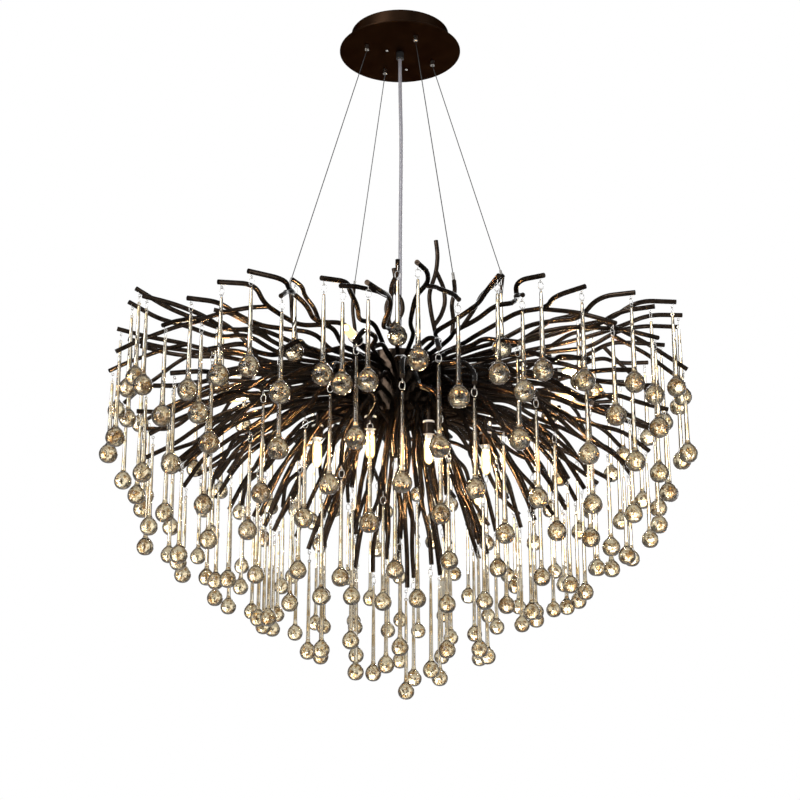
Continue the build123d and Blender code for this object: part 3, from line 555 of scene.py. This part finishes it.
# --- supply cable -----------------------------------------------------------------------
def cable_curve(name, radius, sideways=0.0):
    """A round strand along the cable's route, moved sideways by a distance."""
    data = bpy.data.curves.new(name, "CURVE")
    data.dimensions = "3D"
    data.bevel_depth = radius
    data.bevel_resolution = CABLE_ROUNDNESS
    data.resolution_u = CABLE_STEPS
    data.use_fill_caps = True
    spline = data.splines.new("NURBS")
    spline.points.add(len(CABLE_ROUTE) - 1)
    for point, (x, y, z) in zip(spline.points, CABLE_ROUTE):
        point.co = (x + sideways, y, z, 1)
    spline.order_u = CABLE_ORDER
    spline.use_endpoint_u = True
    return data


def make_cable():
    """A clear jacket with two silver cores, hanging between its two glands."""
    for name, side in (("cable_core_left", -1), ("cable_core_right", 1)):
        data = cable_curve(name, CABLE_CORE_RADIUS, side * CABLE_CORE_OFFSET)
        data.materials.append(CORE_METAL)
        core = new_object(name, data)
    data = cable_curve("supply_cable", CABLE_DIAMETER / 2)
    data.materials.append(MATERIALS["clear_cable"])
    jacket = new_object("supply_cable", data)
    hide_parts("power_cable")


# --- glass drops ------------------------------------------------------------------------
def turn_profile(mesh, profile, sides):
    """A closed turned shape from (radius, height) pairs, the first and last on the axis."""
    vertices = [mesh.verts.new((radius, 0, height)) for radius, height in profile]
    edges = [mesh.edges.new(pair) for pair in zip(vertices, vertices[1:])]
    bmesh.ops.spin(
        mesh,
        geom=vertices + edges,
        cent=(0, 0, 0),
        axis=(0, 0, 1),
        angle=2 * math.pi,
        steps=sides,
        use_merge=True,
    )
    bmesh.ops.remove_doubles(mesh, verts=mesh.verts, dist=0.01 * MILLIMETRE)


def add_eye(mesh, height):
    """A round loop of glass in the XZ plane, with its middle on the axis at a height."""
    beside = Matrix.Translation((EYE_RADIUS * CAGE_SPARE, 0, height))
    place = beside @ Matrix.Rotation(math.pi / 2, 4, "X")
    made = bmesh.ops.create_circle(
        mesh, segments=EYE_WIRE_SIDES, radius=EYE_THICKNESS * CAGE_SPARE, matrix=place
    )
    edges = list({edge for vertex in made["verts"] for edge in vertex.link_edges})
    bmesh.ops.spin(
        mesh,
        geom=made["verts"] + edges,
        cent=(0, 0, height),
        axis=(0, 1, 0),
        angle=2 * math.pi,
        steps=DROP_SIDES,
        use_merge=True,
    )


def drop_template(ball, length):
    """One drop about its ball's middle: a ball, a short flare, a slim stem and an eye."""
    mesh = bmesh.new()
    wide = ball * CAGE_SPARE
    stem = STEM_SHARE * wide
    eye_height = length - ball - EYE_TOP
    foot = eye_height - EYE_RADIUS
    profile = [
        (0, -wide),
        (0.77 * wide, -0.71 * wide),
        (1.11 * wide, 0),
        (0.72 * wide, 0.71 * wide),
        (0.3 * wide, 0.93 * wide),
        (1.05 * stem, 1.25 * wide),
        (stem, 1.8 * wide),
        (0.9 * stem, 0.6 * eye_height),
        (0.65 * stem, foot - EYE_TOP),
        (0.55 * stem, foot),
        (0, foot),
    ]
    turn_profile(mesh, profile, DROP_SIDES)
    add_eye(mesh, eye_height)
    for face in mesh.faces:
        face.material_index = int(face.calc_center_median().z > BALL_TOP * wide)
    data = bpy.data.meshes.new("drop_template")
    mesh.to_mesh(data)
    mesh.free()
    return data


def place_copy(mesh, template, place):
    """A copy of a template at a place in a mesh."""
    count = len(mesh.verts)
    mesh.from_mesh(template)
    mesh.verts.ensure_lookup_table()
    bmesh.ops.transform(mesh, matrix=place, verts=mesh.verts[count:])


def finish_piece(name, mesh, slot, node, levels, stands_for=True, second=None):
    """A mesh as a smooth piece that rides where a node does, and may stand for it. Its
    faces with material index 1 take the second material."""
    bmesh.ops.recalc_face_normals(mesh, faces=mesh.faces)
    for face in mesh.faces:
        face.smooth = True
    data = bpy.data.meshes.new(name)
    mesh.to_mesh(data)
    mesh.free()
    data.materials.append(MATERIALS[slot])
    if second:
        data.materials.append(second)
    piece = new_object(name, data, body_holding(node))
    if levels:
        smoother = piece.modifiers.new("rounding", "SUBSURF")
        smoother.levels = levels
        smoother.render_levels = levels
    if stands_for:
        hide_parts(node)


def facing_out(middle):
    """The turn about Z that brings X to the direction from the chandelier's axis."""
    return Matrix.Rotation(math.atan2(middle.y, middle.x), 4, "Z")


def make_drops(node, templates):
    """All the drops of a node, each as wide and as long as its solid."""
    mesh = bmesh.new()
    for low, high in solids_of(node):
        middle = (low + high) / 2
        ball = (high.x - low.x + high.y - low.y) / 4
        size = (round(ball, 4), round(high.z - low.z, 4))
        if size not in templates:
            templates[size] = drop_template(*size)
        place = Matrix.Translation((middle.x, middle.y, low.z + ball)) @ facing_out(middle)
        place_copy(mesh, templates[size], place)
    finish_piece(
        "glass_" + node, mesh, "champagne_glass", node, DROP_SMOOTH_LEVELS, second=STEM_GLASS
    )


# --- rings and hooks --------------------------------------------------------------------
def wire_curve(radius):
    """A curve for many short round wires, with no wires in it yet."""
    data = bpy.data.curves.new("wires", "CURVE")
    data.dimensions = "3D"
    data.bevel_depth = radius
    data.bevel_resolution = 1
    data.resolution_u = 5
    data.use_fill_caps = True
    return data


def finish_wires(name, curve, node):
    """The wires of a curve as one mesh piece, which stands for its node."""
    # A curve's bounds grow by its points' radius, so the wires become a mesh.
    bent = bpy.data.objects.new(name, curve)
    data = bpy.data.meshes.new_from_object(bent)
    bpy.data.objects.remove(bent)
    bpy.data.curves.remove(curve)
    data.materials.clear()
    data.materials.append(MATERIALS["chrome_screw"])
    piece = new_object(name, data, body_holding(node))
    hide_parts(node)


def make_rings():
    """The oval rings, each across its rod."""
    curve = wire_curve(RING_WIRE)
    for low, high in solids_of("drop_rings"):
        middle = (low + high) / 2
        place = Matrix.Translation(middle) @ facing_out(middle)
        straight = (high.z - low.z) / 2 - RING_WIRE - RING_HALF_WIDTH
        handle = HALF_CIRCLE_HANDLE * RING_HALF_WIDTH
        spline = curve.splines.new("BEZIER")
        spline.bezier_points.add(3)
        spline.use_cyclic_u = True
        for point, (side, level) in zip(spline.bezier_points, RING_CORNERS):
            corner = Vector((0, side * RING_HALF_WIDTH, level * straight))
            curved = corner + Vector((0, 0, level * handle))
            along = corner - Vector((0, 0, level * straight / 2))
            point.co = place @ corner
            before, after = (along, curved) if side == level else (curved, along)
            point.handle_left = place @ before
            point.handle_right = place @ after
    finish_wires("ring_wires", curve, "drop_rings")


def make_hooks():
    """The bent wire hooks that stand in the rods' tips."""
    curve = wire_curve(HOOK_WIRE)
    for low, high in solids_of("drop_hooks"):
        middle = (low + high) / 2
        eye = Vector((middle.x, middle.y, low.z + HOOK_EYE + HOOK_WIRE))
        place = Matrix.Translation(eye) @ facing_out(middle)
        spline = curve.splines.new("POLY")
        spline.points.add(HOOK_STEPS)
        spline.points[0].co = (*(place @ Vector((HOOK_EYE, 0, high.z - eye.z))), 1)
        for step in range(HOOK_STEPS):
            turn = -HOOK_TURN * step / (HOOK_STEPS - 1)
            point = Vector((HOOK_EYE * math.cos(turn), 0, HOOK_EYE * math.sin(turn)))
            spline.points[step + 1].co = (*(place @ point), 1)
    finish_wires("hook_wires", curve, "drop_hooks")


# --- bulbs ------------------------------------------------------------------------------
def bulb_place(node):
    """Where a bulb stands: it points along Z, and its pins are side by side along X."""
    joints = frame["record"]["behaviour"]["joints"]
    joint = next(row for row in joints if row["child"] == body_holding(node))
    forward = Vector(joint["axis"]).normalized()
    low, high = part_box(node)
    middle = (Vector(low) + Vector(high)) / 2
    level = abs(forward.z) < 0.5
    pins = Vector((0, 0, -1)) if level else Vector((middle.x, middle.y, 0)).normalized()
    turn = Matrix((pins, forward.cross(pins), forward)).transposed()
    seen = [turn.inverted() @ vertex.co for vertex in frame["nodes"][node].data.vertices]
    low = Vector((min(point.x for point in seen), min(point.y for point in seen)))
    high = Vector((max(point.x for point in seen), max(point.y for point in seen)))
    foot = min(point.z for point in seen)
    return Matrix.Translation(turn @ Vector((*((low + high) / 2), foot))) @ turn.to_4x4()


def make_bulb(node):
    """A capsule bulb: a drawn glass envelope with a sealed tip, and a pinched base on pins."""
    place = bulb_place(node)
    seat = BULB_PIN_LENGTH
    neck = seat + BULB_BASE_LENGTH
    tip = neck + BULB_LENGTH
    wide = BULB_RADIUS * BULB_SPARE
    envelope = [
        (0, neck - 1.0 * MILLIMETRE),
        (0.6 * wide, neck - 1.0 * MILLIMETRE),
        (0.72 * wide, neck),
        (0.96 * wide, neck + 4 * MILLIMETRE),
        (wide, neck + 8 * MILLIMETRE),
        (wide, tip - 12 * MILLIMETRE),
        (0.97 * wide, tip - 7 * MILLIMETRE),
        (0.62 * wide, tip - 2 * MILLIMETRE),
        (0.2 * wide, tip - 0.8 * MILLIMETRE),
        (0.13 * wide, tip + 0.1 * MILLIMETRE),
        (0, tip + 0.1 * MILLIMETRE),
    ]
    mesh = bmesh.new()
    turn_profile(mesh, envelope, BULB_SIDES)
    bmesh.ops.transform(mesh, matrix=place, verts=mesh.verts)
    finish_piece("glass_" + node, mesh, "bulb_glass", node, 1)
    mesh = bmesh.new()
    bmesh.ops.create_cone(
        mesh,
        cap_ends=True,
        segments=BULB_SIDES * 2,
        radius1=BULB_BASE_RADIUS,
        radius2=BULB_BASE_RADIUS,
        depth=BULB_BASE_LENGTH,
        matrix=Matrix.Translation((0, 0, seat + BULB_BASE_LENGTH / 2)),
    )
    rims = [
        edge for edge in mesh.edges if abs(edge.verts[0].co.z - edge.verts[1].co.z) < MILLIMETRE
    ]
    bmesh.ops.bevel(
        mesh,
        geom=rims,
        offset=BASE_BEVEL,
        segments=2,
        profile=0.5,
        affect="EDGES",
        material=-1,
    )
    pin_length = BULB_PIN_LENGTH + MILLIMETRE
    for side in (-1, 1):
        bmesh.ops.create_cone(
            mesh,
            cap_ends=True,
            segments=BULB_SIDES,
            radius1=BULB_PIN_RADIUS,
            radius2=BULB_PIN_RADIUS,
            depth=pin_length,
            matrix=Matrix.Translation((side * BULB_PIN_SPACING / 2, 0, pin_length / 2)),
        )
    bmesh.ops.transform(mesh, matrix=place, verts=mesh.verts)
    finish_piece("base_" + node, mesh, "ceramic", node, 0, stands_for=False)


def make_sleeves():
    """The dark metal sleeves round the ceramic holders, each with a rolled lip."""
    inside = SLEEVE_RADIUS - SLEEVE_WALL
    foot = -SLEEVE_WALL
    profile = [
        (0, foot),
        (0.5 * SLEEVE_RADIUS, foot),
        (0.86 * SLEEVE_RADIUS, foot),
        (SLEEVE_RADIUS, foot + 2 * MILLIMETRE),
        (SLEEVE_RADIUS, 0.5 * SLEEVE_LENGTH),
        (SLEEVE_RADIUS, SLEEVE_LENGTH - 1.6 * MILLIMETRE),
        (SLEEVE_RADIUS + SLEEVE_LIP, SLEEVE_LENGTH - MILLIMETRE),
        (SLEEVE_RADIUS + 0.8 * SLEEVE_LIP, SLEEVE_LENGTH),
        (inside, SLEEVE_LENGTH),
        (inside, SLEEVE_LENGTH - MILLIMETRE),
        (inside, foot + 3 * MILLIMETRE),
        (0.8 * inside, foot + SLEEVE_WALL),
        (0, foot + SLEEVE_WALL),
    ]
    mesh = bmesh.new()
    turn_profile(mesh, profile, BULB_SIDES)
    template = bpy.data.meshes.new("sleeve_template")
    mesh.to_mesh(template)
    mesh.free()
    mesh = bmesh.new()
    for node in BULB_NODES:
        holder = bulb_place(node) @ Matrix.Translation((0, 0, BULB_PIN_LENGTH - HOLDER_LENGTH))
        place_copy(mesh, template, holder)
    bpy.data.meshes.remove(template)
    finish_piece("lamp_sleeves", mesh, "black_nickel", "lamp_holders", 1, stands_for=False)


# --- the whole scene --------------------------------------------------------------------
bpy.context.scene.view_settings.view_transform = "Standard"
make_camera()
make_world()
make_cable()
make_studio_lamp("key_light", (-2.0, -2.6, 0.6), 60)
make_studio_lamp("fill_light", (2.6, -2.0, -1.6), 30)
make_studio_lamp("back_light", (0.6, 3.2, 0.4), 40)
make_floor()
dress_solids()
drop_templates = {}
for drop_node in DROP_NODES:
    make_drops(drop_node, drop_templates)
for template in drop_templates.values():
    bpy.data.meshes.remove(template)
make_rings()
make_hooks()
for bulb_node in BULB_NODES:
    make_bulb(bulb_node)
make_sleeves()
